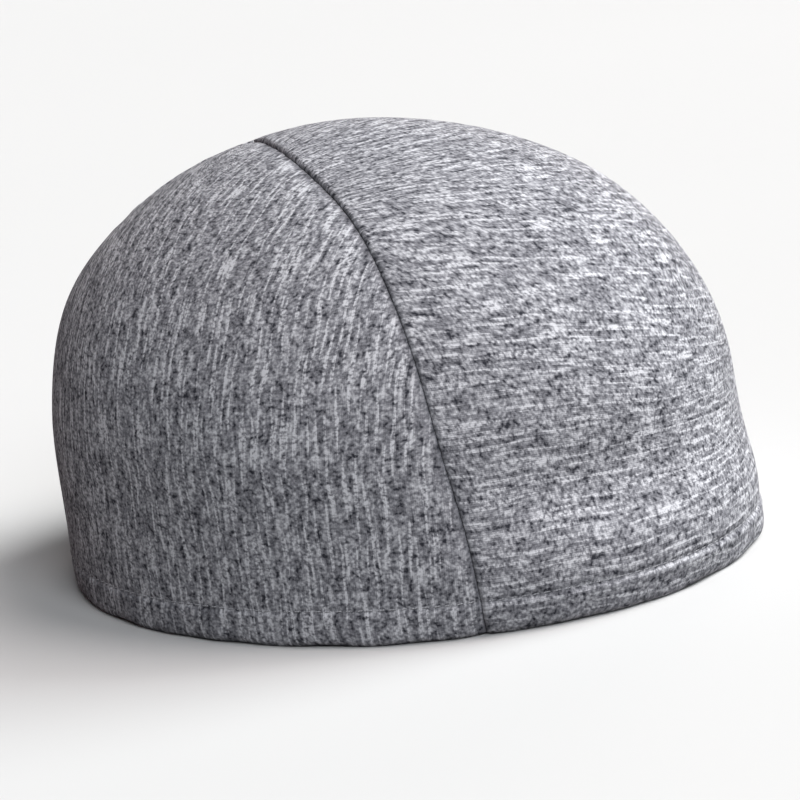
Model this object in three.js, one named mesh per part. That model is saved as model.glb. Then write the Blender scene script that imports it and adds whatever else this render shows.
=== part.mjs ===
// Knitted liner cap worn under a helmet: four shaped panels sewn along four seams that meet
// behind the top of the head, with the lower edge turned in as a hem.
// Millimetres. +Z is up, -Y is the forehead, +X is the wearer's left.
// The cap stands on its hem, with the middle of its outer box over the origin.

import * as THREE from "three";

// Driving dimensions of the dome
const sideReach = 82;
const frontReach = 105;
const backReach = 104;
const domeHeight = 111;

// The cloth, its hem and its seams
const clothWall = 1.5;
const hemPlyWall = 1.5;
const hemHeight = 9;
const hemPlySlope = 1.2;
const foldRound = 0.6;
const stitchLineDepth = 0.4;
const stitchLineWidth = 2.4;
const seamGap = 0.3;
const seamDepth = 0.9;
const seamRoll = 5;
const crossingHole = 1.2;

// The four seams meet this far behind the top, measured as a lean of the dome's axis.
const crossingLean = 16;

// Each seam leaves the crossing at this turn from the forehead, and bows this much on its way.
const frontSeamTurn = 45.5;
const backSeamTurn = 137;
const seamBow = 5;

// Depth of the soft hollows that the cloth has above the hem
const hollowDepth = 1;

// Columns and rows of the mesh of one panel
const columnsAcross = 16;
const rowsDown = 20;

// How far the cloth stands out at each rise above the rim, as shares of the reaches above.
const domeRows = [
  { rise: 0, sides: 0.955, front: 0.937, back: 0.865 },
  { rise: 10, sides: 0.98, front: 0.947, back: 0.883 },
  { rise: 25, sides: 1.07, front: 0.98, back: 0.94 },
  { rise: 45, sides: 1.14, front: 1.075, back: 1.07 },
  { rise: 65, sides: 1.145, front: 1.17, back: 1.14 },
  { rise: 90, sides: 1.15, front: 1.105, back: 1.12 },
];

// Soft hollows: where they lie round the rim and above it, in degrees, how far they reach,
// and their depth as a share of hollowDepth.
const softHollows = [
  { round: -24, rise: 17, wide: 17, tall: 7, depth: 1 },
  { round: 24, rise: 17, wide: 17, tall: 7, depth: 1 },
  { round: -96, rise: 22, wide: 13, tall: 10, depth: 0.7 },
  { round: 96, rise: 22, wide: 13, tall: 10, depth: 0.7 },
];

// Side is -1 for the wearer's right and +1 for the left.
const seams = {
  frontRight: { side: -1, turn: frontSeamTurn, bow: -seamBow },
  frontLeft: { side: 1, turn: frontSeamTurn, bow: -seamBow },
  backLeft: { side: 1, turn: backSeamTurn, bow: seamBow },
  backRight: { side: -1, turn: backSeamTurn, bow: seamBow },
};

// Each panel runs from one seam to the next, towards the wearer's left round the forehead.
// Roll is the share of seamRoll over which its cloth curls down into its seams.
const panels = [
  { name: "front_panel", from: "frontRight", to: "frontLeft", roll: 1, color: 0xa3a4ab },
  { name: "left_side_panel", from: "frontLeft", to: "backLeft", roll: 0.5, color: 0x96979e },
  { name: "back_panel", from: "backLeft", to: "backRight", roll: 1, color: 0xa0a1a8 },
  { name: "right_side_panel", from: "backRight", to: "frontRight", roll: 0.5, color: 0x999aa1 },
];

// The axis of the crossing and the two directions square to it
const lean = THREE.MathUtils.degToRad(crossingLean);
const crossingAxis = new THREE.Vector3(0, Math.sin(lean), Math.cos(lean));
const towardsForehead = new THREE.Vector3(0, -Math.cos(lean), Math.sin(lean));
const towardsLeft = new THREE.Vector3(1, 0, 0);

// A smooth curve through one column of the rows, level at the top and straight below the rim
function smoothShare(column, rise) {
  const last = domeRows.length - 1;
  const slopeTo = (row) =>
    (domeRows[row + 1][column] - domeRows[row][column]) / (domeRows[row + 1].rise - domeRows[row].rise);
  const slopeAt = (row) => {
    if (row === 0) return slopeTo(0);
    if (row === last) return 0;
    const below = domeRows[row].rise - domeRows[row - 1].rise;
    const above = domeRows[row + 1].rise - domeRows[row].rise;
    return (below * slopeTo(row) + above * slopeTo(row - 1)) / (below + above);
  };
  if (rise <= 0) return domeRows[0][column] + slopeAt(0) * rise;
  let row = 0;
  while (row < last - 1 && rise > domeRows[row + 1].rise) row += 1;
  const step = domeRows[row + 1].rise - domeRows[row].rise;
  const t = (rise - domeRows[row].rise) / step;
  const t2 = t * t;
  const t3 = t2 * t;
  return (
    (2 * t3 - 3 * t2 + 1) * domeRows[row][column] +
    (t3 - 2 * t2 + t) * step * slopeAt(row) +
    (3 * t2 - 2 * t3) * domeRows[row + 1][column] +
    (t3 - t2) * step * slopeAt(row + 1)
  );
}

// The point of the dome in a direction of the unit ball
function domePoint(direction) {
  const rise = THREE.MathUtils.radToDeg(Math.asin(THREE.MathUtils.clamp(direction.z, -1, 1)));
  const lengthwise =
    direction.y < 0 ? frontReach * smoothShare("front", rise) : backReach * smoothShare("back", rise);
  return new THREE.Vector3(
    sideReach * smoothShare("sides", rise) * direction.x,
    lengthwise * direction.y,
    domeHeight * direction.z,
  );
}

// The outward normal there, which turns level inside the hem so that the walls stand on one plane
function domeNormal(direction, point) {
  const reach = 0.002;
  const first = new THREE.Vector3(0, 0, 1).cross(direction);
  if (first.lengthSq() < 1e-9) first.set(1, 0, 0);
  first.normalize();
  const second = direction.clone().cross(first).normalize();
  const along = (tangent) => {
    const ahead = domePoint(direction.clone().addScaledVector(tangent, reach).normalize());
    const behind = domePoint(direction.clone().addScaledVector(tangent, -reach).normalize());
    return ahead.sub(behind);
  };
  const normal = along(first).cross(along(second)).normalize();
  if (normal.dot(direction) < 0) normal.negate();
  normal.z *= THREE.MathUtils.smoothstep(point.z, hemHeight, 3 * hemHeight);
  return normal.normalize();
}

// How deep the soft hollows are in a direction
function hollowAt(direction) {
  const round = THREE.MathUtils.radToDeg(Math.atan2(direction.x, -direction.y));
  const rise = THREE.MathUtils.radToDeg(Math.asin(THREE.MathUtils.clamp(direction.z, -1, 1)));
  let depth = 0;
  for (const hollow of softHollows) {
    const across = (round - hollow.round) / hollow.wide;
    const up = (rise - hollow.rise) / hollow.tall;
    depth += hollowDepth * hollow.depth * Math.exp(-across * across - up * up);
  }
  return depth;
}

// The turn of a seam, in degrees, where it has gone a share of its way down from the crossing
function seamTurnAt(seam, down) {
  return seam.side * (seam.turn + seam.bow * Math.sin(Math.PI * down));
}

// The direction a share of the way down and a share of the way across a panel
function panelDirection(panel, down, across) {
  const start = seamTurnAt(seams[panel.from], down);
  let end = seamTurnAt(seams[panel.to], down);
  if (end < start) end += 360;
  const turn = THREE.MathUtils.degToRad(THREE.MathUtils.lerp(start, end, across));
  const rimAngle = Math.atan2(Math.cos(lean), -Math.sin(lean) * Math.cos(turn));
  const angle = down * rimAngle;
  return crossingAxis
    .clone()
    .multiplyScalar(Math.cos(angle))
    .addScaledVector(towardsForehead, Math.sin(angle) * Math.cos(turn))
    .addScaledVector(towardsLeft, Math.sin(angle) * Math.sin(turn));
}

// The share of the way down at which a line across the panel reaches a height
function downToHeight(panel, across, height) {
  let high = 0;
  let low = 1;
  for (let pass = 0; pass < 40; pass += 1) {
    const middle = (high + low) / 2;
    if (domeHeight * panelDirection(panel, middle, across).z > height) high = middle;
    else low = middle;
  }
  return low;
}

// The share of the way down at which the panel's cut tip begins
function downToTip(panel, across) {
  const tryOut = 0.02;
  const crossing = domePoint(crossingAxis);
  const reached = domePoint(panelDirection(panel, tryOut, across)).distanceTo(crossing);
  return (tryOut * crossingHole) / 2 / reached;
}

// The width of a panel there, from seam to seam
function panelWidth(panel, down) {
  const pieces = 24;
  let width = 0;
  let last = domePoint(panelDirection(panel, down, 0));
  for (let piece = 1; piece <= pieces; piece += 1) {
    const next = domePoint(panelDirection(panel, down, piece / pieces));
    width += next.distanceTo(last);
    last = next;
  }
  return width;
}

// The rows of a panel, each with its wall and how far the outside is drawn in.
// Rows above the hem lie a share of the way down to its top, and rows at the hem at a height.
function panelRows() {
  const rows = [];
  const hemTop = hemHeight + hemPlySlope;
  const aboveStitches = hemTop + stitchLineWidth / 2;
  const doubled = clothWall + hemPlyWall;
  for (let row = 0; row < rowsDown; row += 1) {
    rows.push({ height: aboveStitches, share: row / rowsDown, wall: clothWall, inset: 0 });
  }
  rows.push({ height: aboveStitches, wall: clothWall, inset: 0 });
  rows.push({ height: hemTop, wall: clothWall, inset: stitchLineDepth });
  rows.push({ height: hemHeight, wall: doubled - stitchLineDepth, inset: stitchLineDepth });
  rows.push({ height: hemHeight - stitchLineWidth / 2, wall: doubled, inset: 0 });
  rows.push({ height: hemHeight / 2, wall: doubled, inset: 0 });
  rows.push({ height: foldRound, wall: doubled, inset: 0 });
  rows.push({ height: 0, wall: doubled - 2 * foldRound, inset: foldRound });
  return rows;
}

// How deep the cloth dips there, as it curls down into the seams on either hand
function seamDip(panel, width, across) {
  const roll = seamRoll * panel.roll;
  const awayFromStart = 1 - Math.exp((-across * width) / roll);
  const awayFromEnd = 1 - Math.exp((-(1 - across) * width) / roll);
  return seamDepth * (1 - awayFromStart * awayFromEnd);
}

// The outer and the inner point of a panel where a row crosses a column
function skinPoints(panel, row, across) {
  const hem = downToHeight(panel, across, row.height);
  const tip = downToTip(panel, across);
  const down = row.share === undefined ? hem : THREE.MathUtils.lerp(tip, hem, row.share);
  const width = panelWidth(panel, down);
  const inset = seamGap / 2 / width;
  const direction = panelDirection(panel, down, THREE.MathUtils.lerp(inset, 1 - inset, across));
  const base = domePoint(direction);
  const normal = domeNormal(direction, base);
  const drawnIn = row.inset + seamDip(panel, width, across) + hollowAt(direction);
  const outer = base.clone().addScaledVector(normal, -drawnIn);
  const inner = base.clone().addScaledVector(normal, -drawnIn - row.wall);
  if (row.share === undefined) {
    outer.z = row.height;
    inner.z = row.height;
  }
  return [outer, inner];
}

// The triangles of a closed sheet: an outer and an inner skin, and the edge round them
function closedSheetIndex(rowCount, columnCount) {
  const index = [];
  const lastRow = rowCount - 1;
  const lastColumn = columnCount - 1;
  const at = (row, column, skin) => 2 * (row * columnCount + column) + skin;
  const quad = (a, b, c, d) => index.push(a, b, c, a, c, d);
  for (let row = 0; row < lastRow; row += 1) {
    const below = row + 1;
    for (let column = 0; column < lastColumn; column += 1) {
      const beside = column + 1;
      quad(at(row, column, 0), at(below, column, 0), at(below, beside, 0), at(row, beside, 0));
      quad(at(row, column, 1), at(row, beside, 1), at(below, beside, 1), at(below, column, 1));
    }
    quad(at(row, 0, 0), at(row, 0, 1), at(below, 0, 1), at(below, 0, 0));
    quad(at(row, lastColumn, 0), at(below, lastColumn, 0), at(below, lastColumn, 1), at(row, lastColumn, 1));
  }
  for (let column = 0; column < lastColumn; column += 1) {
    const beside = column + 1;
    quad(at(0, column, 0), at(0, beside, 0), at(0, beside, 1), at(0, column, 1));
    quad(at(lastRow, column, 0), at(lastRow, column, 1), at(lastRow, beside, 1), at(lastRow, beside, 0));
  }
  return index;
}

// One panel as a closed body, with its columns closer together beside the seams
function panelGeometry(panel) {
  const rows = panelRows();
  const positions = [];
  for (const row of rows) {
    for (let column = 0; column <= columnsAcross; column += 1) {
      const across = (1 - Math.cos((Math.PI * column) / columnsAcross)) / 2;
      for (const point of skinPoints(panel, row, across)) positions.push(point.x, point.y, point.z);
    }
  }
  const geometry = new THREE.BufferGeometry();
  geometry.setAttribute("position", new THREE.Float32BufferAttribute(positions, 3));
  geometry.setIndex(closedSheetIndex(rows.length, columnsAcross + 1));
  geometry.computeVertexNormals();
  return geometry;
}

function makePanel(panel) {
  const material = new THREE.MeshStandardMaterial({ color: panel.color, roughness: 0.95, metalness: 0 });
  const mesh = new THREE.Mesh(panelGeometry(panel), material);
  mesh.name = panel.name;
  return mesh;
}

// The panels are placed round the axis of the head, then the cap's middle is set over the origin.
const cap = new THREE.Group();
cap.name = "liner_cap";
for (const panel of panels) cap.add(makePanel(panel));
const middle = new THREE.Box3().setFromObject(cap).getCenter(new THREE.Vector3());
cap.position.set(-middle.x, -middle.y, 0);

export default cap;
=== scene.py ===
"""Knitted liner cap: four sewn panels of marl knit, a turned and stitched hem, and the seams inside.

Shapes are worked out in millimetres with numpy and turned into metres when a mesh is made.
+Z is up, -Y is the forehead and +X is the wearer's left.
"""

import math

import bpy
import numpy as np
from bpy.props import FloatProperty, FloatVectorProperty, PointerProperty
from bpy.types import Operator, Panel, PropertyGroup
from mathutils import Matrix, Vector


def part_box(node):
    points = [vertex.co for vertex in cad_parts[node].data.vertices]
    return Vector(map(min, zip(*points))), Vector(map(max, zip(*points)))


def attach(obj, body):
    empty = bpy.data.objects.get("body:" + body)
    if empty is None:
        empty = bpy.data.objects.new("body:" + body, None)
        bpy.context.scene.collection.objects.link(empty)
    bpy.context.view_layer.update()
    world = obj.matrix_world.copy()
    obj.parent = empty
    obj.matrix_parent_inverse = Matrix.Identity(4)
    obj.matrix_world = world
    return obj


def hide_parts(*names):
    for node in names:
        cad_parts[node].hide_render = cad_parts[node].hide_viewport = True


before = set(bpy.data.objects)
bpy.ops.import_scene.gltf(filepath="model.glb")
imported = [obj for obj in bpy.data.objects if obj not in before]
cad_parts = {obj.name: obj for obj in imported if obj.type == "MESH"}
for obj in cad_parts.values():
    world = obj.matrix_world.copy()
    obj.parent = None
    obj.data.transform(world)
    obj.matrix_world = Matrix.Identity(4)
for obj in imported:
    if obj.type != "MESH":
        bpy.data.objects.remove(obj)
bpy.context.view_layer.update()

bl_info = {
    "name": "Knitted Liner Cap",
    "version": (1, 0, 0),
    "blender": (4, 5, 0),
    "location": "3D View > Sidebar > Liner Cap",
    "description": "Makes a four-panel liner cap of marl knit with its hem, seams and stitching",
    "category": "Add Mesh",
}

TO_MM = 1000
TO_M = 0.001

# The dome, as the part's source gives it, in millimetres and degrees
SIDE_REACH = 82.0
FRONT_REACH = 105.0
BACK_REACH = 104.0
DOME_HEIGHT = 111.0
DOME_ROWS = np.array([
    # rise, sides, front, back
    [0, 0.955, 0.937, 0.865],
    [10, 0.98, 0.947, 0.883],
    [25, 1.07, 0.98, 0.94],
    [45, 1.14, 1.075, 1.07],
    [65, 1.145, 1.17, 1.14],
    [90, 1.15, 1.105, 1.12],
])
SOFT_HOLLOWS = [
    # round, rise, wide, tall, depth
    (-24, 17, 17, 7, 1.0),
    (24, 17, 17, 7, 1.0),
    (-96, 22, 13, 10, 0.7),
    (96, 22, 13, 10, 0.7),
]
# Forms that only the soft cloth has: rolls stand out and have a depth below zero.
CLOTH_FORMS = [
    # turn from the forehead, height, wide, tall, depth
    (-18, 34, 23, 12, 3.1),
    (24, 34, 15, 12, 0.7),
    (-16, 18, 30, 7, -1.0),
    (28, 17, 16, 7, -0.5),
    (-102, 38, 17, 14, 1.4),
    (104, 38, 17, 14, 0.8),
    (170, 36, 24, 12, 0.9),
    (37, 0, 20, 6.5, -1.8),
]
HEM_TUCK = 2.9
CROSSING_LEAN = math.radians(16)
SEAM_ROLL = 5.0
SEAMS = {
    # side, turn, bow
    "front_right": (-1, 45.5, -5),
    "front_left": (1, 45.5, -5),
    "back_left": (1, 137, 5),
    "back_right": (-1, 137, 5),
}
PANELS = {
    # seam it starts from, seam it ends at, shares of the seams' roll, depth and rounding,
    # way the grain runs
    "front_panel": ("front_right", "front_left", 0.6, 0.2, 1.4, "across"),
    "left_side_panel": ("front_left", "back_left", 0.7, 1.1, 0.4, "down"),
    "back_panel": ("back_left", "back_right", 0.6, 0.2, 1.4, "across"),
    "right_side_panel": ("back_right", "front_right", 0.7, 1.1, 0.4, "down"),
}
CROSSING_AXIS = np.array([0, math.sin(CROSSING_LEAN), math.cos(CROSSING_LEAN)])
TO_FOREHEAD = np.array([0, -math.cos(CROSSING_LEAN), math.sin(CROSSING_LEAN)])
TO_LEFT = np.array([1.0, 0, 0])


# Width of one wale of the knit in millimetres
LOOP_GAUGE = 0.5


# Sizes and colours that a user would change
class LinerCapCloth(PropertyGroup):
    wall: FloatProperty(
        name="Cloth Thickness", description="Thickness of one ply of the knit",
        default=0.0015, min=0.0008, max=0.003, unit="LENGTH")
    hem_height: FloatProperty(
        name="Hem Height", description="Height of the turned hem up to its stitching",
        default=0.009, min=0.005, max=0.02, unit="LENGTH")
    seam_depth: FloatProperty(
        name="Seam Depth", description="How deep the cloth dips into the seams",
        default=0.001, min=0.0, max=0.002, unit="LENGTH")
    seam_round: FloatProperty(
        name="Seam Rounding", description="Radius of the cloth's edge as it turns into a seam",
        default=0.00095, min=0.0003, max=0.0014, unit="LENGTH")
    pucker: FloatProperty(
        name="Seam Puckers", description="Height of the small puckers beside the seams",
        default=0.00016, min=0.0, max=0.0006, unit="LENGTH")
    softness: FloatProperty(
        name="Soft Waves", description="Height of the broad, soft waves of the cloth",
        default=0.00035, min=0.0, max=0.001, unit="LENGTH")
    allowance: FloatProperty(
        name="Seam Allowance", description="Width of the cloth beyond the seams, inside the cap",
        default=0.006, min=0.003, max=0.012, unit="LENGTH")
    dark: FloatVectorProperty(
        name="Dark Yarn", description="Colour of the darkest flecks of the marl",
        subtype="COLOR", size=3, default=(0.035, 0.036, 0.047), min=0, max=1)
    middle: FloatVectorProperty(
        name="Middle Yarn", description="Colour of most of the marl",
        subtype="COLOR", size=3, default=(0.280, 0.280, 0.310), min=0, max=1)
    light: FloatVectorProperty(
        name="Light Yarn", description="Colour of the light dashes of the marl",
        subtype="COLOR", size=3, default=(0.74, 0.74, 0.785), min=0, max=1)
    # Painted shade: how much the yarn's colour is darkened beside the seams, standing in for the shade of
    # the seams' creases
    seam_shade: FloatProperty(
        name="Painted Seam Shade", description="How much darker the side panels' yarn is right beside a seam",
        default=0.36, min=0.0, max=1.0)
    fleck_length: FloatProperty(
        name="Fleck Length", description="Length of the short flecks of the marl along the grain",
        default=0.0014, min=0.0005, max=0.01, unit="LENGTH")
    fleck_width: FloatProperty(
        name="Fleck Width", description="Width of the flecks of the marl across the grain",
        default=0.00145, min=0.0003, max=0.004, unit="LENGTH")
    cross_streaks: FloatProperty(
        name="Front Streaks", description="Strength of the long, light threads on the front and back",
        default=0.26, min=0.0, max=1.0)
    down_streaks: FloatProperty(
        name="Side Streaks", description="Strength of the long, light threads on the sides",
        default=0.32, min=0.0, max=1.0)
    dash_length: FloatProperty(
        name="Dash Length", description="Length of the long dashes of the marl along the grain",
        default=0.005, min=0.001, max=0.03, unit="LENGTH")


class LinerCapStitching(PropertyGroup):
    pitch: FloatProperty(
        name="Stitch Pitch", description="Length of one stitch of the hem",
        default=0.0026, min=0.0015, max=0.006, unit="LENGTH")
    thread: FloatProperty(
        name="Thread Diameter", description="Diameter of the hem's sewing thread",
        default=0.00034, min=0.0002, max=0.001, unit="LENGTH")
    color: FloatVectorProperty(
        name="Thread Colour", description="Colour of the sewing thread",
        subtype="COLOR", size=3, default=(0.42, 0.42, 0.45), min=0, max=1)


class LinerCapStage(PropertyGroup):
    floor: FloatVectorProperty(
        name="Floor Colour", description="Colour that the pale floor shows",
        subtype="COLOR", size=3, default=(0.76, 0.76, 0.76), min=0, max=1)
    bounce: FloatVectorProperty(
        name="Floor Bounce", description="Colour with which the floor lights the cap from below",
        subtype="COLOR", size=3, default=(0.25, 0.25, 0.25), min=0, max=1)
    key: FloatProperty(
        name="Key Light", description="Strength of the soft light at the right",
        default=2.3, min=0)
    high: FloatProperty(
        name="High Light", description="Strength of the soft light above the right",
        default=1.95, min=0)
    front: FloatProperty(
        name="Front Light", description="Strength of the soft light above the camera",
        default=1.5, min=0)
    back: FloatProperty(
        name="Back Lights", description="Strength of the warm, soft lights behind the cap",
        default=1.7, min=0)
    world: FloatProperty(
        name="World Strength", description="Strength of the pale light from all round",
        default=0.02, min=0, max=1)


# Shape of the dome
def smooth_share(column, rise):
    """Cubic Hermite curve through one column of DOME_ROWS over the rise, level at the top
    and straight below the rim. Each inner slope is the weighted mean of its two neighbours."""
    x, y = DOME_ROWS[:, 0], DOME_ROWS[:, column]
    step = np.diff(x)
    slope = np.diff(y) / step
    tangent = np.zeros(len(x))
    tangent[0] = slope[0]
    tangent[1:-1] = (step[:-1] * slope[1:] + step[1:] * slope[:-1]) / (step[:-1] + step[1:])
    row = np.clip(np.searchsorted(x, rise, side="right") - 1, 0, len(x) - 2)
    t = (rise - x[row]) / step[row]
    t2, t3 = t * t, t * t * t
    value = ((2 * t3 - 3 * t2 + 1) * y[row] + (t3 - 2 * t2 + t) * step[row] * tangent[row]
             + (3 * t2 - 2 * t3) * y[row + 1] + (t3 - t2) * step[row] * tangent[row + 1])
    return np.where(rise < 0, y[0] + tangent[0] * rise, value)


def dome_point(direction):
    """Each part of a unit direction times its reach, where the level reaches change with the rise."""
    x, y, z = np.moveaxis(direction, -1, 0)
    rise = np.degrees(np.arcsin(np.clip(z, -1, 1)))
    front = FRONT_REACH * smooth_share(2, rise)
    back = BACK_REACH * smooth_share(3, rise)
    return np.stack([
        SIDE_REACH * smooth_share(1, rise) * x,
        np.where(y < 0, front, back) * y,
        DOME_HEIGHT * z,
    ], -1)


def line_lengths(points, axis=0):
    """Distance along the lines of points on one axis of a grid, from each line's first point:
    the running sum of the steps' lengths."""
    steps = np.linalg.norm(np.diff(points, axis=axis), axis=-1)
    return np.concatenate([np.zeros_like(np.take(steps, [0], axis)), np.cumsum(steps, axis)], axis)


def unit(vectors):
    """Vectors divided by their length."""
    return vectors / np.maximum(np.linalg.norm(vectors, axis=-1, keepdims=True), 1e-12)


def smooth_step(low, high, value):
    """0 below low, 1 above high, and three t squared less two t cubed between."""
    t = np.clip((value - low) / (high - low), 0, 1)
    return t * t * (3 - 2 * t)


def dome_normal(direction, point):
    """Cross product of the dome's two central differences, turned level in the hem as in the part."""
    reach = 0.002
    first = np.cross(np.broadcast_to([0.0, 0.0, 1.0], direction.shape), direction)
    flat = np.linalg.norm(first, axis=-1, keepdims=True) < 1e-5
    first = unit(np.where(flat, [1.0, 0.0, 0.0], first))
    second = unit(np.cross(direction, first))

    def along(tangent):
        ahead = dome_point(unit(direction + tangent * reach))
        return ahead - dome_point(unit(direction - tangent * reach))

    normal = unit(np.cross(along(first), along(second)))
    normal = np.where((normal * direction).sum(-1, keepdims=True) < 0, -normal, normal)
    normal[..., 2] *= smooth_step(9.0, 27.0, point[..., 2])
    return unit(normal)


def bell(*away):
    """Gauss bell: e to the power of less the sum of the squares of the given distances."""
    return np.exp(-sum(part ** 2 for part in away))


def turn_of(direction):
    """Turn round the rim from the forehead, in degrees."""
    return np.degrees(np.arctan2(direction[..., 0], -direction[..., 1]))


def sum_of_bells(forms, turn, height):
    """Sum of the listed forms, each a Gauss bell over the turn round the rim and a height."""
    depth = 0
    for place, level, wide, tall, deep in forms:
        away = (turn - place + 180) % 360 - 180
        depth = depth + deep * bell(away / wide, (height - level) / tall)
    return depth


def hollow_at(direction):
    """The soft hollows, whose height is the rise in degrees."""
    rise = np.degrees(np.arcsin(np.clip(direction[..., 2], -1, 1)))
    return sum_of_bells(SOFT_HOLLOWS, turn_of(direction), rise)


def cloth_forms(direction, height):
    """The cloth's own forms and the front hem's tuck, which grows downwards by a smooth step."""
    turn = turn_of(direction)
    tuck = (1 - smooth_step(36, 64, -turn)) * (1 - 0.55 * smooth_step(2, 30, turn))
    tuck *= HEM_TUCK * (1 - smooth_step(-2, 12.5, height))
    return tuck + sum_of_bells(CLOTH_FORMS, turn, height)


def seam_turn(seam, down):
    """Turn of a seam from the forehead in degrees, bowed by a half sine on its way down."""
    side, turn, bow = SEAMS[seam]
    return side * (turn + bow * np.sin(np.pi * down))


def panel_direction(panel, down, across):
    """Direction from the middle of the dome, a share down from the crossing to the rim and a
    share across the panel from seam to seam."""
    start = seam_turn(PANELS[panel][0], down)
    end = seam_turn(PANELS[panel][1], down)
    end = np.where(end < start, end + 360, end)
    turn = np.radians(start + (end - start) * across)
    rim = np.arctan2(math.cos(CROSSING_LEAN), -math.sin(CROSSING_LEAN) * np.cos(turn))
    angle = down * rim
    sine = np.sin(angle)
    return (np.cos(angle)[..., None] * CROSSING_AXIS
            + (sine * np.cos(turn))[..., None] * TO_FOREHEAD
            + (sine * np.sin(turn))[..., None] * TO_LEFT)


def down_to_height(panel, across, height):
    """Share of the way down at which the dome reaches a height, found by halving."""
    across, height = np.broadcast_arrays(across, height)
    high, low = np.zeros(across.shape), np.ones(across.shape)
    for _ in range(34):
        middle = (high + low) / 2
        above = DOME_HEIGHT * panel_direction(panel, middle, across)[..., 2] > height
        high, low = np.where(above, middle, high), np.where(above, low, middle)
    return low


def down_to_tip(panel, across, radius):
    """Share of the way down at which the panel is a small radius away from the crossing."""
    reached = np.linalg.norm(
        dome_point(panel_direction(panel, np.full(np.shape(across), 0.02), across))
        - dome_point(CROSSING_AXIS), axis=-1)
    return 0.02 * radius / reached


def soft_waves(points, length, seed):
    """Mean of twelve sine waves through space with seeded ways, lengths near the given one
    and phases, from about -1 to 1."""
    draw = np.random.default_rng(seed)
    ways = unit(draw.normal(size=(12, 3))) * (2 * np.pi / (length * draw.uniform(0.75, 1.5, (12, 1))))
    return np.sin(points @ ways.T + draw.uniform(0, 2 * np.pi, 12)).mean(-1) * 2.2


def line_waves(place, length, seed):
    """Mean of five sine waves along a line with seeded lengths and phases, from about -1 to 1."""
    draw = np.random.default_rng(seed)
    ways = 2 * np.pi / (length * draw.uniform(0.7, 1.5, 5))
    return np.sin(place[..., None] * ways + draw.uniform(0, 2 * np.pi, 5)).mean(-1) * 1.8


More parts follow.
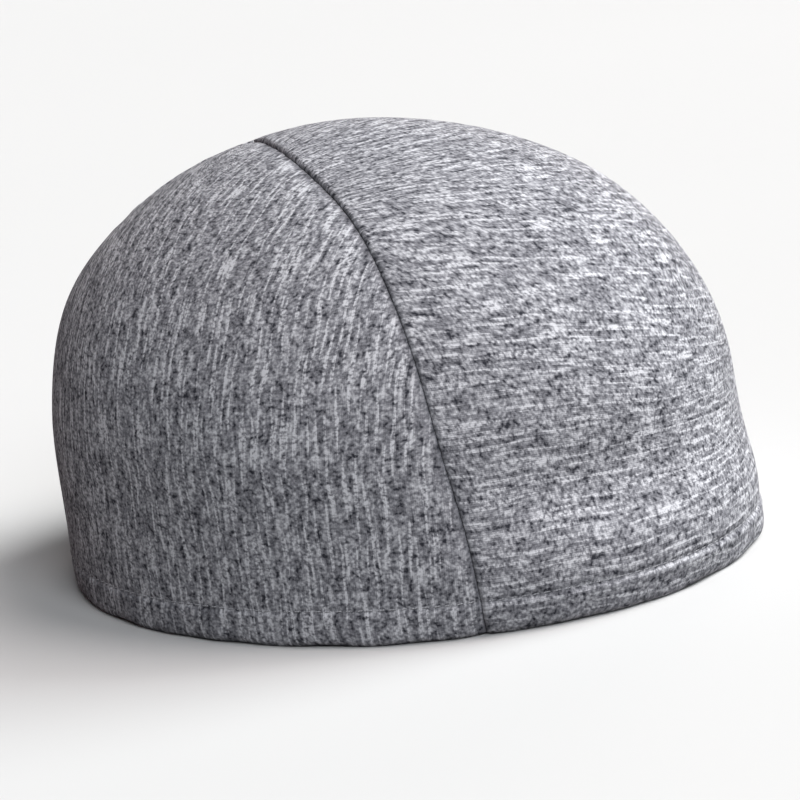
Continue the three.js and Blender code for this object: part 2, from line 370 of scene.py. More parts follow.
# Cloth of one panel
class PanelCloth:
    """The rows and columns of one panel, with the place, normal and arcs of each point.

    Rows go from the tip at the crossing to the fold of the hem. Columns go from seam to seam,
    closer together beside the seams."""

    body_step = 1.3
    hem_step = 0.42
    column_step = 0.45
    edge_steps = np.array([0, 0.08, 0.18, 0.3, 0.45, 0.62, 0.85, 1.2, 1.6, 2.1, 2.7, 3.4])
    tip_radius = 0.15
    fine_above_hem = 4.0
    fold_height = 1.7
    table = np.linspace(0, 1, 65)

    def __init__(self, name, cloth, pitch):
        self.name = name
        roll, depth, rounding, self.way = PANELS[name][2:]
        self.wall = cloth.wall * TO_MM
        self.hem = cloth.hem_height * TO_MM
        self.stitch_height = self.hem + 0.1
        self.pitch = pitch * TO_MM
        self.roll = SEAM_ROLL * roll
        self.seam_depth = cloth.seam_depth * TO_MM * depth
        self.seam_round = cloth.seam_round * TO_MM * rounding
        self.pucker = cloth.pucker * TO_MM
        self.softness = cloth.softness * TO_MM
        # Painted shade beside the seams: full on the side panels, onto which the proud front and back edges
        # cast their shadow, and weak on the others
        self.painted_shade_depth = cloth.seam_shade * (1.0 if self.way == "down" else 0.15)
        self.lay_rows()
        self.lay_columns()
        self.work_out()

    def lay_rows(self):
        """Heights fall in even steps through the hem and round its fold, a quarter of an ellipse."""
        fine_top = self.hem + self.fine_above_hem
        fine_rows = int(round((fine_top - self.fold_height) / self.hem_step)) + 1
        bend = np.radians(np.linspace(0, 90, 8)[1:])
        heights = np.concatenate([np.linspace(fine_top, self.fold_height, fine_rows),
                                  self.fold_height * (1 - np.sin(bend))])
        tip = down_to_tip(self.name, self.table, self.tip_radius)
        top = down_to_height(self.name, self.table, fine_top)
        middle = dome_point(panel_direction(self.name, np.linspace(0, top[len(top) // 2], 200), 0.5))
        rows = int(round(line_lengths(middle)[-1] / self.body_step))
        body = tip + (top - tip) * np.linspace(0, 1, rows + 1)[:-1, None]
        self.down_table = np.concatenate([body, down_to_height(self.name, self.table, heights[:, None])])
        self.heights = np.concatenate([np.full(rows, np.nan), heights])
        self.turned = np.concatenate([np.zeros(rows + fine_rows), 1 - np.cos(bend)])[:, None]

    def lay_columns(self):
        """Even steps across, and fixed small steps from the seams, all narrowed near the tip."""
        arcs = line_lengths(dome_point(panel_direction(self.name, self.down_table, self.table)), 1)
        width = arcs[:, -1:]
        self.width = width[:, 0]
        self.narrow = np.minimum(1, width / 14)
        edge = self.edge_steps * self.narrow
        columns = int(round((self.width[-1] - 2 * self.edge_steps[-1]) / self.column_step / 2)) * 2
        even = edge[:, -1:] + (width - 2 * edge[:, -1:]) * np.linspace(0, 1, columns + 1)[1:-1]
        self.from_start = np.concatenate([edge, even, (width - edge)[:, ::-1]], axis=1)
        self.from_end = width - self.from_start
        self.seams = ((self.from_start, 0), (self.from_end, -1))
        gap = np.minimum(0.03, width / 8)
        placed = np.clip(self.from_start, gap, width - gap)
        self.across = np.stack([np.interp(d, a, self.table) for d, a in zip(placed, arcs)])
        self.down = np.stack([np.interp(a, self.table, d) for a, d in zip(self.across, self.down_table)])

    def work_out(self):
        """Depth below the dome: hollows, the dip and rounded edge at the seams, puckers, soft
        waves, the puffed hem, the groove of its stitching and the turn of its fold."""
        direction = panel_direction(self.name, self.down, self.across)
        base = self.base = dome_point(direction)
        self.normal = dome_normal(direction, base)
        fixed = ~np.isnan(self.heights)
        base[fixed, :, 2] = self.heights[fixed, None]
        height = base[..., 2]
        self.up = line_lengths(base[::-1])[::-1]
        along = line_lengths(base, 1)
        self.round = along - along[:, -1:] / 2
        self.rim_place = PANEL_STARTS[self.name] + along / along[:, -1:] * along[-1, -1]

        flat = np.prod([1 - np.exp(-edge / self.roll) for edge, _ in self.seams], axis=0)
        depth = self.seam_depth * (1 - flat) + hollow_at(direction) + cloth_forms(direction, height)
        depth += self.softness * soft_waves(base, 38, 5) * (0.35 + 0.65 * smooth_step(4, 18, height))
        for (edge, column), seam in zip(self.seams, PANELS[self.name]):
            lumps = line_waves(self.up[:, column], 7.5, 11 + list(SEAMS).index(seam))
            depth += self.pucker * lumps[:, None] * np.exp(-(edge / 4.5) ** 1.5) * self.narrow
        depth += 0.16 * line_waves(self.rim_place, 17, 3) * (1 - smooth_step(3, 9, height))

        radius = self.seam_round * np.minimum(1, self.width / 6)[:, None]
        inside = np.clip(1 - np.minimum(self.from_start, self.from_end) / radius, 0, 1)
        rounding = radius * (1 - np.sqrt(np.clip(1 - inside ** 2, 0, 1)))
        pull = 1.0 if self.way == "across" else 0.5
        puff = 0.45 * pull * smooth_step(0, 3.2, height)
        puff *= 1 - smooth_step(self.hem - 1.7, self.hem + 0.2, height)
        beat = np.cos(2 * np.pi * self.rim_place / self.pitch)
        below = self.stitch_height - height
        groove = pull * (0.42 + 0.16 * beat) * bell(below / 0.62)
        scallop = pull * 0.13 * beat * bell((below - 1.5) / 1.1)
        doubled = self.wall * smooth_step(self.hem + 1.4, self.hem + 0.2, height)
        lift = 0.22 * (1 + line_waves(self.rim_place, 23, 8)) * (1 - smooth_step(0, 8, height))
        turn = self.wall * self.turned
        self.outer = self.place(depth + rounding - puff + groove + scallop + turn, lift)
        self.inner = self.place(
            depth + self.wall + doubled + 0.1 * groove - 0.35 * puff - 0.9 * turn, lift)

    def painted_shade(self):
        """Painted shade beside the seams, standing in for the shade in each seam's crease and the shadow
        that a proud panel edge casts across it. It falls off by a Gauss bell of an uneven width.
        """
        found = np.zeros(self.outer.shape[:2])
        for edge, column in self.seams:
            width = 1.35 * (1 + 0.45 * line_waves(self.up[:, column], 8, 31 + column))
            found = np.maximum(found, bell(edge / width[:, None]))
        return found * self.painted_shade_depth

    def place(self, depth, lift):
        """Base point less the normal times the depth, lifted by a small height."""
        points = self.base - self.normal * depth[..., None]
        points[..., 2] = np.where(np.isnan(self.heights)[:, None], points[..., 2], self.base[..., 2])
        points[..., 2] += lift
        points[..., 1] += SHIFT_Y
        return points

    def grain(self):
        """Place on the flat cloth: first along the streaks, then across them. On the front and
        back the streaks rise and fall with the hem, and near the crown they run straight from
        side to side."""
        if self.way == "down":
            side = 1 if self.name.startswith("left") else -1
            return self.up, self.round * side + 0.2 * self.up + 400
        slope_at = np.linspace(-90, 90, 181)
        slope = smooth_step(-60, -10, slope_at) * (1 - smooth_step(30, 60, slope_at))
        risen = np.concatenate([[0], np.cumsum((slope[1:] + slope[:-1]) / 2)])
        rise = np.interp(self.round, slope_at, risen)
        skew = 0.3 if self.name == "front_panel" else 0.12
        over = self.up + skew * smooth_step(15, 70, self.up) * rise
        middle = self.up.shape[1] // 2
        forward = self.base[..., 1] * np.sign(self.base[-1, middle, 1])
        tilt = np.arctan2(self.base[..., 2], forward)
        straight = np.interp(tilt, tilt[::-1, middle], self.up[::-1, middle])
        straight += (over - straight)[:, middle:middle + 1]
        away = np.linalg.norm(self.base - dome_point(CROSSING_AXIS), axis=-1)
        return self.round + 200, straight + (over - straight) * smooth_step(20, 90, away)


def panel_starts():
    """Distance round the rim at which each panel starts: the arcs of the panels before it."""
    starts, place = {}, 0.0
    for panel in PANELS:
        starts[panel] = place
        place += line_lengths(dome_point(panel_direction(panel, np.ones(200), np.linspace(0, 1, 200))))[-1]
    return starts


def find_shift():
    """The part's sideways shift: its box's front face less the foremost point of the shape here."""
    down = np.linspace(0.02, 1, 400)
    direction = panel_direction("front_panel", down, np.full(400, 0.5))
    base = dome_point(direction)
    front = (base - dome_normal(direction, base) * hollow_at(direction)[:, None])[:, 1].min()
    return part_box("front_panel")[0][1] * TO_MM - front


PANEL_STARTS = panel_starts()
SHIFT_Y = find_shift()


def placed(name, data):
    """A new object that holds the data, in the scene."""
    holder = bpy.data.objects.new(name, data)
    bpy.context.scene.collection.objects.link(holder)
    return holder


# Meshes from arrays
def make_mesh(name, points, faces, place=None, painted_shade=None):
    """A mesh object at the origin from points in millimetres and triangles, with flat-cloth places as its
    UV map and the painted shade beside the seams as a value of each point."""
    mesh = bpy.data.meshes.new(name)
    faces = np.asarray(faces, dtype=np.int32)
    mesh.vertices.add(len(points))
    mesh.vertices.foreach_set("co", (points * TO_M).astype(np.float32).ravel())
    mesh.loops.add(faces.size)
    mesh.loops.foreach_set("vertex_index", faces.ravel())
    mesh.polygons.add(len(faces))
    mesh.polygons.foreach_set("loop_start", np.arange(0, faces.size, 3, dtype=np.int32))
    mesh.update(calc_edges=True)
    mesh.polygons.foreach_set("use_smooth", np.full(len(faces), True))
    if place is not None:
        layer = mesh.uv_layers.new(name="cloth")
        flat = (place * TO_M).astype(np.float32)[faces.ravel()]
        layer.data.foreach_set("uv", flat.ravel())
    if painted_shade is not None:
        layer = mesh.attributes.new("seam_shade", "FLOAT", "POINT")
        layer.data.foreach_set("value", painted_shade.astype(np.float32).ravel())
    mesh.validate()
    return placed(name, mesh)


def listed(*grids):
    """Grids of points, one after another, as one list of points."""
    return np.concatenate([grid.reshape(-1, grid.shape[-1]) for grid in grids])


def grid_faces(index, wrap=False):
    """Quads of a grid of vertex numbers, wrapped round across if wished, as two triangles each."""
    if wrap:
        index = np.concatenate([index, index[:, :1]], axis=1)
    a, b, c, d = index[:-1, :-1], index[1:, :-1], index[1:, 1:], index[:-1, 1:]
    return listed(np.stack([a, b, c], -1), np.stack([a, c, d], -1))


def closed_faces(rings, around):
    """Faces of a wrapped grid, with a fan of triangles over the first ring and over the last."""
    index = np.arange(rings * around).reshape(rings, around)
    first, last = (np.stack([np.full(around - 2, ring[0]), ring[1:-1], ring[2:]], -1)
                   for ring in index[[0, -1]])
    return np.concatenate([grid_faces(index, wrap=True), first, last[:, ::-1]])


def half_strip_faces(fine, coarse):
    """Triangles between a line of vertices and one with every second of them."""
    a, m, b = fine[:-2:2], fine[1:-1:2], fine[2::2]
    c, d = coarse[:-1], coarse[1:]
    return np.concatenate([np.stack([a, m, c], -1), np.stack([m, d, c], -1), np.stack([m, b, d], -1)])


def cloth_piece(cloth):
    """The closed cloth of one panel: an outer skin, an inner skin with every second column, and
    the strips that join them along both seams, at the tip and in the fold."""
    rows, columns = cloth.outer.shape[:2]
    outer = np.arange(rows * columns).reshape(rows, columns)
    inner = outer.size + np.arange(rows * (columns // 2 + 1)).reshape(rows, -1)
    faces = np.concatenate([
        grid_faces(outer),
        grid_faces(inner)[:, ::-1],
        grid_faces(np.stack([inner[:, 0], outer[:, 0]]))[:, ::-1],
        grid_faces(np.stack([inner[:, -1], outer[:, -1]])),
        half_strip_faces(outer[0], inner[0]),
        half_strip_faces(outer[-1], inner[-1])[:, ::-1],
    ])
    place = np.stack(cloth.grain(), -1)
    # The painted shade beside the seams, for the outer skin only
    painted_shade = cloth.painted_shade()[..., None]
    return make_mesh(cloth.name.replace("_panel", "_knit"), listed(cloth.outer, cloth.inner[:, ::2]), faces,
                     listed(place, place[:, ::2]), listed(painted_shade, 0 * painted_shade[:, ::2]))


# The radius at a tube's two ends, as a share of its own
TUBE_END = 0.02


def tube(path, outward, radius, sides=6):
    """Points of a round tube along paths, closed to a point at both ends. The ring at each point
    of a path stands square to it, from its outward way and the cross product with the path."""
    heading = unit(np.gradient(path, axis=-2))
    across = unit(np.cross(heading, outward))
    upward = np.cross(across, heading)
    turn = np.linspace(0, 2 * np.pi, sides, endpoint=False)
    size = np.broadcast_to(radius, path.shape[:-1]).copy()
    size[..., [0, -1]] *= TUBE_END
    ring = (np.cos(turn)[:, None] * across[..., None, :] + np.sin(turn)[:, None] * upward[..., None, :])
    return path[..., None, :] + ring * size[..., None, None]


# How far apart on the twist of the thread one tube starts from the next
TUBE_OFFSET = 7.3


def tube_piece(name, tubes):
    """One mesh from tubes of one size, each a closed grid, with places along and round as UVs."""
    count, rings, sides = tubes.shape[:3]
    block = closed_faces(rings, sides)
    faces = (block[None] + (np.arange(count) * rings * sides)[:, None, None]).reshape(-1, 3)
    along = line_lengths(tubes.mean(2), 1) + TUBE_OFFSET * np.arange(count)[:, None]
    along = np.broadcast_to(along[..., None], tubes.shape[:3])
    turn = np.broadcast_to(np.abs(np.linspace(-1, 1, sides, endpoint=False)), tubes.shape[:3])
    return make_mesh(name, listed(tubes), faces, listed(np.stack([along, turn], -1)))


# Shader nodes
class Wiring:
    """Short calls that add nodes to a tree and link them."""

    def __init__(self, tree):
        self.tree = tree

    def node(self, kind, inputs=(), **values):
        made = self.tree.nodes.new(kind)
        for key, value in values.items():
            setattr(made, key, value)
        for key, value in dict(inputs).items():
            self.feed(made.inputs[key], value)
        return made

    def feed(self, socket, value):
        if isinstance(value, bpy.types.NodeSocket):
            self.tree.links.new(value, socket)
        else:
            socket.default_value = value

    def math(self, operation, *values, clamp=False):
        return self.node("ShaderNodeMath", dict(enumerate(values)), operation=operation,
                         use_clamp=clamp).outputs[0]

    def scaled(self, value, by, plus, clamp=False):
        return self.math("MULTIPLY_ADD", value, by, plus, clamp=clamp)

    def noise(self, along, across, detail=1.0, rough=0.5):
        """Noise of about one lump a unit over two distances on the flat cloth."""
        place = self.node("ShaderNodeCombineXYZ", {0: along, 1: across}).outputs[0]
        return self.node("ShaderNodeTexNoise", {"Vector": place, "Scale": 1.0, "Detail": detail,
                                                "Roughness": rough}, noise_dimensions="2D").outputs["Fac"]

    def ramp(self, value, low, high, kind="LINEAR"):
        """0 at low and 1 at high, and level beyond them."""
        return self.node("ShaderNodeMapRange", {"Value": value, "From Min": low, "From Max": high},
                         interpolation_type=kind).outputs["Result"]

    def blend(self, factor, low, high):
        """The colour that lies a factor of the way from low to high."""
        return self.node("ShaderNodeMix", {"Factor": factor, 6: low, 7: high}, data_type="RGBA").outputs[2]

    def cloth_place(self):
        """Distances along and across on the piece's flat cloth in millimetres, from its UV map."""
        place = self.node("ShaderNodeUVMap", uv_map="cloth").outputs[0]
        flat = self.node("ShaderNodeMapping", {"Vector": place, "Scale": (TO_MM,) * 3}).outputs[0]
        return self.node("ShaderNodeSeparateXYZ", {0: flat}).outputs[:2]

    def shader(self, inputs):
        """The material's one shader, with its output."""
        shader = self.node("ShaderNodeBsdfPrincipled", inputs)
        self.node("ShaderNodeOutputMaterial", {"Surface": shader.outputs[0]})


def new_material(name):
    """A material without nodes, and its wiring."""
    material = bpy.data.materials.new(name)
    material.use_nodes = True
    material.node_tree.nodes.clear()
    return material, Wiring(material.node_tree)


COLOR_SOCKETS = ("Dark", "Middle", "Light", "Color")


def new_group(name, inputs, outputs):
    """A node group with the named sockets: its wiring, its inputs and its outputs."""
    tree = bpy.data.node_groups.new(name, "ShaderNodeTree")
    for way, labels in (("INPUT", inputs), ("OUTPUT", outputs)):
        for label in labels:
            kind = "NodeSocketColor" if label in COLOR_SOCKETS else "NodeSocketFloat"
            tree.interface.new_socket(name=label, in_out=way, socket_type=kind)
    wires = Wiring(tree)
    return wires, wires.node("NodeGroupInput").outputs, wires.node("NodeGroupOutput").inputs


def marl_group():
    """Marl yarn on the flat cloth, in millimetres. Flecks, dashes and a few long light threads
    of noise lie along the grain. The distance across is drawn together into rows, so that each
    row of loops keeps one yarn's tone. Speckles and broad patches are added."""
    wires, given, result = new_group(
        "Marl Yarn",
        ["Along", "Across", "Fleck Length", "Fleck Width", "Dash Length", "Gauge", "Shade", "Streaks",
         "Dark", "Middle", "Light"],
        ["Color", "Tone", "Roughness"])
    calc, scaled = wires.math, wires.scaled
    along, across = given["Along"], given["Across"]
    wander = wires.noise(calc("MULTIPLY", along, 0.06), calc("MULTIPLY", across, 0.06))
    across = scaled(calc("SUBTRACT", wander, 0.5), 1.8, across)
    rows = calc("DIVIDE", across, given["Gauge"])
    part = wires.ramp(calc("FRACT", rows), 0.05, 0.95, "SMOOTHSTEP")
    rows = calc("MULTIPLY", calc("ADD", calc("FLOOR", rows), part), given["Gauge"])
    wide = calc("DIVIDE", rows, given["Fleck Width"])
    flecks = wires.noise(calc("DIVIDE", along, given["Fleck Length"]), wide)
    long = calc("DIVIDE", along, given["Dash Length"])
    dashes = wires.noise(long, scaled(wide, 0.8, 37.0), rough=0.4)
    threads = wires.noise(calc("DIVIDE", long, 3.0), scaled(wide, 1.45, 91.0), 0)
    speckles = wires.noise(calc("MULTIPLY", along, 1.5), calc("MULTIPLY", across, 1.3))
    patches = wires.noise(calc("MULTIPLY", along, 0.09), calc("MULTIPLY", across, 0.16), 2, 0.6)
    tone = 0.485
    for layer, weight in ((flecks, 0.88), (dashes, 0.8), (speckles, 0.8), (patches, 0.4)):
        tone = scaled(calc("SUBTRACT", layer, 0.5), weight, tone)
    broken = scaled(speckles, 2.2, -0.1)
    thread = calc("MULTIPLY", wires.ramp(threads, 0.56, 0.72, "SMOOTHSTEP"), broken)
    tone = scaled(thread, given["Streaks"], tone)
    speck = wires.ramp(flecks, 0.44, 0.26, "SMOOTHSTEP")
    tone = scaled(speck, -0.12, tone, clamp=True)
    # Painted shade: the tone is darkened beside the seams by the Shade input
    tone = calc("MULTIPLY", tone, calc("SUBTRACT", 1.0, given["Shade"]), clamp=True)
    low = wires.blend(wires.ramp(tone, 0.0, 0.5), given["Dark"], given["Middle"])
    wires.feed(result["Color"], wires.blend(wires.ramp(tone, 0.5, 1.0), low, given["Light"]))
    wires.feed(result["Tone"], tone)
    wires.feed(result["Roughness"], scaled(tone, -0.12, 0.96))


def loops_group():
    """Height of a plain knit on the flat cloth: ribs along the wales, each cut into leaning
    loops by a wave along it whose phase swings from rib to rib."""
    wires, given, result = new_group("Knit Loops", ["Along", "Across", "Gauge"], ["Height"])
    calc, gauge = wires.math, given["Gauge"]
    ribs = calc("DIVIDE", given["Across"], gauge)
    loops = calc("DIVIDE", given["Along"], calc("MULTIPLY", gauge, 0.9))
    loops = calc("ADD", loops, calc("PINGPONG", ribs, 0.5))
    rib, loop = (calc("ABSOLUTE", calc("SINE", calc("MULTIPLY", count, math.pi)))
                 for count in (ribs, loops))
    wires.feed(result["Height"], calc("MULTIPLY", rib, wires.scaled(loop, 0.5, 0.5)))


def marl_material(name, cloth, streaks):
    """Marl knit that reads the cloth's own UV map, with the shader's constants on its sockets."""
    material, wires = new_material(name)
    along, across = wires.cloth_place()
    place = {"Along": along, "Across": across, "Gauge": LOOP_GAUGE}
    # The painted shade beside the seams, from the mesh's own values
    painted_shade = wires.node("ShaderNodeAttribute", attribute_name="seam_shade").outputs["Fac"]
    loops = wires.node("ShaderNodeGroup", place, node_tree=bpy.data.node_groups["Knit Loops"])
    yarn = wires.node("ShaderNodeGroup", {
        **place, "Streaks": streaks, "Shade": painted_shade, "Fleck Length": cloth.fleck_length * TO_MM,
        "Fleck Width": cloth.fleck_width * TO_MM, "Dash Length": cloth.dash_length * TO_MM,
        "Dark": (*cloth.dark, 1), "Middle": (*cloth.middle, 1), "Light": (*cloth.light, 1),
    }, node_tree=bpy.data.node_groups["Marl Yarn"])
    height = wires.scaled(yarn.outputs["Tone"], 0.8, loops.outputs["Height"])
    bump = wires.node("ShaderNodeBump", {"Strength": 0.22, "Distance": 0.00025, "Height": height})
    wires.shader({
        "Base Color": yarn.outputs["Color"], "Roughness": yarn.outputs["Roughness"],
        "Normal": bump.outputs[0], "Specular IOR Level": 0.2, "Sheen Weight": 0.05})
    return material


def thread_material(stitching):
    """Twisted sewing thread: slanting ridges along the tube. Its colour is lighter on the ridges and darker
    between them, a painted highlight and painted shade of the twist, mixed with a random fuzz of tone.
    """
    material, wires = new_material("Sewing Thread")
    along, turn = wires.cloth_place()
    slant = wires.scaled(turn, 2.0, wires.math("MULTIPLY", along, 9.0))
    ridge = wires.scaled(wires.math("SINE", slant), 0.5, 0.5)
    fuzz = wires.noise(wires.math("MULTIPLY", along, 6.0), wires.math("MULTIPLY", turn, 6.0), 2)
    # Painted highlight on the twist's ridges and painted shade in its grooves, with a random fuzz of tone
    tone = wires.scaled(ridge, 0.5, wires.math("MULTIPLY", fuzz, 0.5), clamp=True)
    low = tuple(part * 0.55 for part in stitching.color) + (1,)
    high = tuple(min(1, part * 1.5) for part in stitching.color) + (1,)
    bump = wires.node("ShaderNodeBump", {"Strength": 0.5, "Distance": 0.0001, "Height": ridge})
    wires.shader({
        "Base Color": wires.blend(tone, low, high), "Normal": bump.outputs[0],
        "Roughness": wires.scaled(fuzz, 0.2, 0.62),
        "Specular IOR Level": 0.3, "Sheen Weight": 0.1})
    return material


def once(collection, name, make, *values):
    """The named data block if it is there, or else a new one from make and its values."""
    if name not in collection:
        make(*values)
    return collection[name]


def knit_materials(cloth):
    """The two marl finishes: one for the panels cut across the grain, one for those cut along it."""
    once(bpy.data.node_groups, "Marl Yarn", marl_group)
    once(bpy.data.node_groups, "Knit Loops", loops_group)
    return {way: once(bpy.data.materials, name, marl_material, name, cloth, streaks)
            for way, name, streaks in (("across", "Marl Knit Across", cloth.cross_streaks),
                                       ("down", "Marl Knit Down", cloth.down_streaks))}


def thread_finish(stitching):
    """The finish of the sewing thread."""
    return once(bpy.data.materials, "Sewing Thread", thread_material, stitching)


def panel_cloth(name):
    """The worked-out cloth of a panel, with the scene's sizes."""
    scene = bpy.context.scene
    return PanelCloth(name, scene.liner_cap_cloth, scene.liner_cap_stitching.pitch)


# Operators for the pieces
class LINERCAP_OT_add_panels(Operator):
    """Make the four knitted panels, each with its turned hem, in place of the plain solids"""
    bl_idname = "linercap.add_panels"
    bl_label = "Add Knit Panels"

    def execute(self, context):
        finishes = knit_materials(context.scene.liner_cap_cloth)
        for name in PANELS:
            cloth = panel_cloth(name)
            piece = cloth_piece(cloth)
            piece.data.materials.append(finishes[cloth.way])
            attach(piece, "root")
            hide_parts(name)
        return {"FINISHED"}


class LINERCAP_OT_add_hem_stitching(Operator):
    """Make the stitches that hold the turned hem, one line round the cap"""
    bl_idname = "linercap.add_hem_stitching"
    bl_label = "Add Hem Stitching"

    def execute(self, context):
        stitching = context.scene.liner_cap_stitching
        stitches = [hem_stitches(panel_cloth(name), stitching) for name in PANELS]
        piece = tube_piece("hem_stitching", np.concatenate(stitches))
        piece.data.materials.append(thread_finish(stitching))
        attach(piece, "root")
        return {"FINISHED"}


def thread_radius(stitching):
    """Half the thread's diameter, in millimetres."""
    return stitching.thread * TO_MM / 2


def hem_stitches(cloth, stitching):
    """Stitches of one panel. Each runs along the groove for most of a pitch, and its ends dip
    into the cloth by a half sine."""
    row = int(np.nanargmin(np.abs(cloth.heights - cloth.stitch_height)))
    place = cloth.rim_place[row]
    pitch = cloth.pitch
    first = math.ceil(place[0] / pitch + 0.45)
    last = math.floor(place[-1] / pitch - 0.45)
    share = np.linspace(-1, 1, 9)
    at = np.arange(first, last + 1)[:, None] * pitch + share * pitch * 0.43
    points, outward = (np.stack([np.interp(at, place, line) for line in grid[row].T], -1)
                       for grid in (cloth.outer, cloth.normal))
    outward = unit(outward)
    path = points + outward * (0.14 - 0.55 * np.abs(share) ** 3)[:, None]
    path[..., 2] += 0.12 * share
    return tube(path, outward, thread_radius(stitching) * (1 - 0.25 * share ** 2))


class LINERCAP_OT_add_seam_allowances(Operator):
    """Make the two plies of cloth beyond each seam, folded to one side inside the cap"""
    bl_idname = "linercap.add_seam_allowances"
    bl_label = "Add Seam Allowances"

    def execute(self, context):
        sizes = context.scene.liner_cap_cloth
        stitching = context.scene.liner_cap_stitching
        finish = knit_materials(sizes)["across"]
        width = sizes.allowance * TO_MM
        loops = []
        for panel in ("front_panel", "back_panel"):
            cloth = panel_cloth(panel)
            for at_end, seam in enumerate(PANELS[panel][:2]):
                piece = allowance_piece(f"{seam}_allowance", cloth, at_end, width)
                piece.data.materials.append(finish)
                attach(piece, "root")
                loops.append(overlock(cloth, at_end, width, stitching))
        thread = tube_piece("overlock_thread", np.stack(loops))
        thread.data.materials.append(thread_finish(stitching))
        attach(thread, "root")
        return {"FINISHED"}


# Thickness of one pressed ply of an allowance, and a way that no turn of its thread runs in
ALLOWANCE_PLY = 1.05
AWAY_FROM_TURNS = (0.31, 0.27, 0.91)


def inside_place(cloth, at_end, rows, away, height):
    """Points inside a panel, a distance away from its seam and a height above its inner skin.
    The rows are fractions of the panel's row numbers, and all four arrays go together. Each
    point is blended from the four grid points round it."""
    from_seam, skin, normal = (
        grid[:, ::-1] if at_end else grid
        for grid in (cloth.seams[at_end][0], cloth.inner, cloth.normal))
    low = np.clip(np.floor(rows).astype(int), 0, len(from_seam) - 2)
    part = (rows - low)[..., None]
    found = []
    for row in (low, low + 1):
        left = (from_seam[row] <= away[..., None]).sum(-1) - 1
        start = from_seam[row, left]
        share = ((away - start) / (from_seam[row, left + 1] - start))[..., None]
        found.append([grid[row, left] * (1 - share) + grid[row, left + 1] * share
                      for grid in (skin, normal)])
    point, way = (first * (1 - part) + second * part for first, second in zip(*found))
    return point - unit(way) * height[..., None]


def allowance_rows(cloth, shares):
    """Row numbers at shares of the way from near the tip down to the hem's raw edge."""
    top = np.argmax(cloth.width > 2.5)
    bottom = np.nanargmin(np.abs(cloth.heights - (cloth.hem + 0.6)))
    return top + shares * (bottom - top)


def width_fits(cloth, rows):
    """How much of the allowance's width fits at each row, less than 1 near the crossing."""
    return np.minimum(1, np.interp(rows, np.arange(len(cloth.width)), cloth.width) / 15)


def allowance_piece(name, cloth, at_end, width):
    """A strip along the seam whose cross-section is two plies with rounded raw edges, one a
    little wider than the other. The section is a closed line of distance and height."""
    top, bottom = allowance_rows(cloth, np.array([0, 1]))
    rows = np.arange(top, bottom + 1)[:, None]
    fits = width_fits(cloth, rows)
    ply = ALLOWANCE_PLY
    turn = np.radians(np.linspace(-90, 90, 7))
    lower = np.stack([width + 0.35 * np.cos(turn), ply * (0.5 + 0.5 * np.sin(turn))], -1)
    upper = lower + [-0.5, ply]
    floor = np.stack([np.linspace(0, width, 8)[:-1], np.full(7, -0.12)], -1)
    roof = np.stack([np.linspace(width - 0.5, 0, 8)[1:], np.full(7, 2 * ply)], -1)
    roof[-1, 1] = 1.3
    across, high = np.concatenate([floor, lower, upper, roof]).T
    rows, away = np.broadcast_arrays(rows, across * fits)
    wavy = 0.35 * line_waves(rows[:, 0] * cloth.body_step, 16, 21)[:, None] * (across / width) ** 2
    grid = inside_place(cloth, at_end, rows, np.maximum(away + wavy * fits, 0),
                        high * (0.35 + 0.65 * fits))
    faces = closed_faces(*grid.shape[:2])[:, ::-1 if at_end else 1]
    place = np.stack([rows * cloth.body_step, away + high * 0.5 + 700], -1)
    return make_mesh(name, listed(grid), faces, listed(place))


def overlock(cloth, at_end, width, stitching):
    """A helix of thread round the raw edges of an allowance, between its two plies."""
    turns, per_turn = 46, 12
    step = np.arange(turns * per_turn)
    rows = allowance_rows(cloth, np.linspace(0.12, 0.995, len(step)))
    angle = 2 * np.pi * step / per_turn
    away = (width - 1.35 + 1.75 * np.cos(angle)) * width_fits(cloth, rows)
    path = inside_place(cloth, at_end, rows, away, ALLOWANCE_PLY + 1.28 * np.sin(angle))
    return tube(path, np.broadcast_to(AWAY_FROM_TURNS, path.shape), thread_radius(stitching), 5)


# Stage, lights and camera
class LINERCAP_OT_add_stage(Operator):
    """Make the pale floor, the soft studio lights, the world and the camera"""
    bl_idname = "linercap.add_stage"
    bl_label = "Add Stage"

    def execute(self, context):
        stage = context.scene.liner_cap_stage
        make_camera()
        make_floor(stage.floor, stage.bounce)
        axes = np.array(camera_axes())
        for name, way, strength, color in (
                ("key_light", (0.78, 0.62, -0.08), stage.key, (0.94, 1.0, 1.0)),
                ("high_light", (0.56, 0.77, 0.32), stage.high, (1.0, 0.94, 0.92)),
                ("front_light", (0.20, 0.45, 0.87), stage.front, (0.94, 0.97, 1.0)),
                ("warm_light", (-0.75, 0.1, -0.65), 0.15 * stage.back, (1.0, 0.3, 0.3)),
                ("back_light", (0.35, 0.2, -0.92), stage.back, (1.0, 0.88, 0.82))):
            make_light(name, unit(way @ axes), strength, color)
        make_world(stage.world)
        context.scene.view_settings.view_transform = "Standard"
        return {"FINISHED"}


def make_world(strength):
    """White all round as the camera sees it, and much weaker as a light."""
    world = bpy.data.worlds.new("pale_room")
    bpy.context.scene.world = world
    world.use_nodes = True
    world.node_tree.nodes.clear()
    wires = Wiring(world.node_tree)
    seen = wires.node("ShaderNodeLightPath").outputs["Is Camera Ray"]
    power = wires.scaled(seen, 1 - strength, strength)
    pale = wires.node("ShaderNodeBackground", {"Color": (1, 1, 1, 1), "Strength": power})
    wires.node("ShaderNodeOutputWorld", {"Surface": pale.outputs[0]})


FLOOR_SIDES = 96
FLOOR_DROP = 0.05

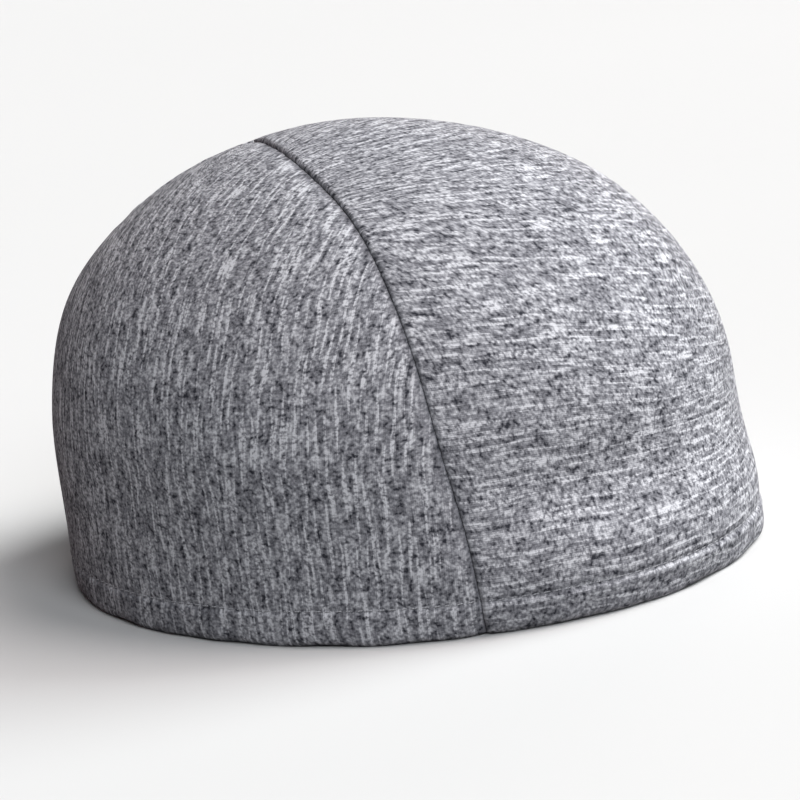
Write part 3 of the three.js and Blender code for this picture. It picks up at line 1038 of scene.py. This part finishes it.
# The camera's place, in millimetres and degrees, and the part's scale in pixels a millimetre
IMAGE_SIDE = 800
SENSOR_SIDE = 36
CAMERA_TURN = math.radians(-48.823)
CAMERA_RISE = math.radians(12.193)
CAMERA_ROLL = math.radians(-7.381)
CAMERA_AWAY = 832.0
CAMERA_AIM = np.array([0.0, 4.07, 57.0])
CAMERA_SCALE = 3.928
AIM_PIXEL = (374.34, 332.25)


def camera_axes():
    """The image's right and up and the way back to the camera, before the roll."""
    back = np.array([math.sin(CAMERA_TURN) * math.cos(CAMERA_RISE),
                     -math.cos(CAMERA_TURN) * math.cos(CAMERA_RISE), math.sin(CAMERA_RISE)])
    right = np.array([math.cos(CAMERA_TURN), math.sin(CAMERA_TURN), 0])
    return right, np.cross(back, right), back


def make_camera():
    """The camera stands back from the aim and looks through the middle of the image, and the
    aim falls on its own pixel. The lens is the focal length in pixels on the sensor's scale."""
    right, up, back = camera_axes()
    rolled_right = math.cos(CAMERA_ROLL) * right + math.sin(CAMERA_ROLL) * up
    rolled_up = np.cross(back, rolled_right)
    focal = CAMERA_SCALE * CAMERA_AWAY
    across, down = IMAGE_SIDE / 2 - np.array(AIM_PIXEL)
    ahead = -back * focal + rolled_right * across - rolled_up * down
    axis = -unit(ahead)
    side = unit(rolled_right - axis * (rolled_right @ axis))
    camera = bpy.data.cameras.new("front_camera")
    camera.sensor_width = camera.sensor_height = SENSOR_SIDE
    camera.sensor_fit = "HORIZONTAL"
    camera.lens = SENSOR_SIDE * focal / IMAGE_SIDE
    camera.clip_start, camera.clip_end = 0.05, 50
    holder = placed("front_camera", camera)
    turned = Matrix((side, np.cross(axis, side), axis)).transposed().to_4x4()
    turned.translation = Vector((CAMERA_AIM + back * CAMERA_AWAY) * TO_M)
    holder.matrix_world = turned
    bpy.context.scene.camera = holder


def make_floor(color, bounce):
    """A flat disc of rings, pale and plain, with a faint unevenness of colour. It sends back
    less light than it shows, as a studio's floor does that is cut away round the object."""
    turn = np.linspace(0, 2 * np.pi, FLOOR_SIDES, endpoint=False)
    radii = np.array([0.001, 50, 200, 800, 2500, 7000, 16000])[:, None]
    points = np.stack([radii * np.cos(turn), radii * np.sin(turn), 0 * radii * turn - FLOOR_DROP], -1)
    index = np.arange(len(radii) * FLOOR_SIDES).reshape(-1, FLOOR_SIDES)
    floor = make_mesh("floor", listed(points), grid_faces(index, wrap=True))
    material, wires = new_material("Pale Floor")
    place = wires.node("ShaderNodeTexCoord").outputs["Object"]
    cloud = wires.node("ShaderNodeTexNoise", {"Vector": place, "Scale": 3.0, "Detail": 2.0})
    low = tuple(part * 0.985 for part in color) + (1,)
    shown = wires.blend(cloud.outputs["Fac"], low, (*color, 1))
    seen = wires.node("ShaderNodeLightPath").outputs["Is Camera Ray"]
    wires.shader({"Base Color": wires.blend(seen, (*bounce, 1), shown), "Roughness": 0.85,
                  "Specular IOR Level": 0.2})
    floor.data.materials.append(material)


def make_light(name, way, strength, color):
    """A wide, soft light far away in the given direction."""
    light = bpy.data.lights.new(name, "SUN")
    light.angle = math.radians(34)
    light.energy = strength
    light.color = color
    holder = placed(name, light)
    holder.location = Vector(way) * 3
    holder.rotation_euler = Vector(way).to_track_quat("Z", "Y").to_euler()


class LINERCAP_PT_tools(Panel):
    bl_idname = "LINERCAP_PT_tools"
    bl_label = "Liner Cap"
    bl_space_type = "VIEW_3D"
    bl_region_type = "UI"
    bl_category = "Liner Cap"

    def draw(self, context):
        for name, group in GROUPS.items():
            box = self.layout.box()
            for value in group.__annotations__:
                box.prop(getattr(context.scene, name), value)
        for operator in OPERATORS:
            self.layout.operator(operator.bl_idname)


GROUPS = {
    "liner_cap_cloth": LinerCapCloth,
    "liner_cap_stitching": LinerCapStitching,
    "liner_cap_stage": LinerCapStage,
}
OPERATORS = (
    LINERCAP_OT_add_stage,
    LINERCAP_OT_add_panels,
    LINERCAP_OT_add_hem_stitching,
    LINERCAP_OT_add_seam_allowances,
)
CLASSES = (*GROUPS.values(), *OPERATORS, LINERCAP_PT_tools)


def register():
    for made in CLASSES:
        bpy.utils.register_class(made)
    for name, group in GROUPS.items():
        setattr(bpy.types.Scene, name, PointerProperty(type=group))


def unregister():
    for name in GROUPS:
        delattr(bpy.types.Scene, name)
    for made in reversed(CLASSES):
        bpy.utils.unregister_class(made)


def main():
    register()
    bpy.ops.linercap.add_stage()
    bpy.ops.linercap.add_panels()
    bpy.ops.linercap.add_hem_stitching()
    bpy.ops.linercap.add_seam_allowances()


if __name__ == "__main__":
    main()
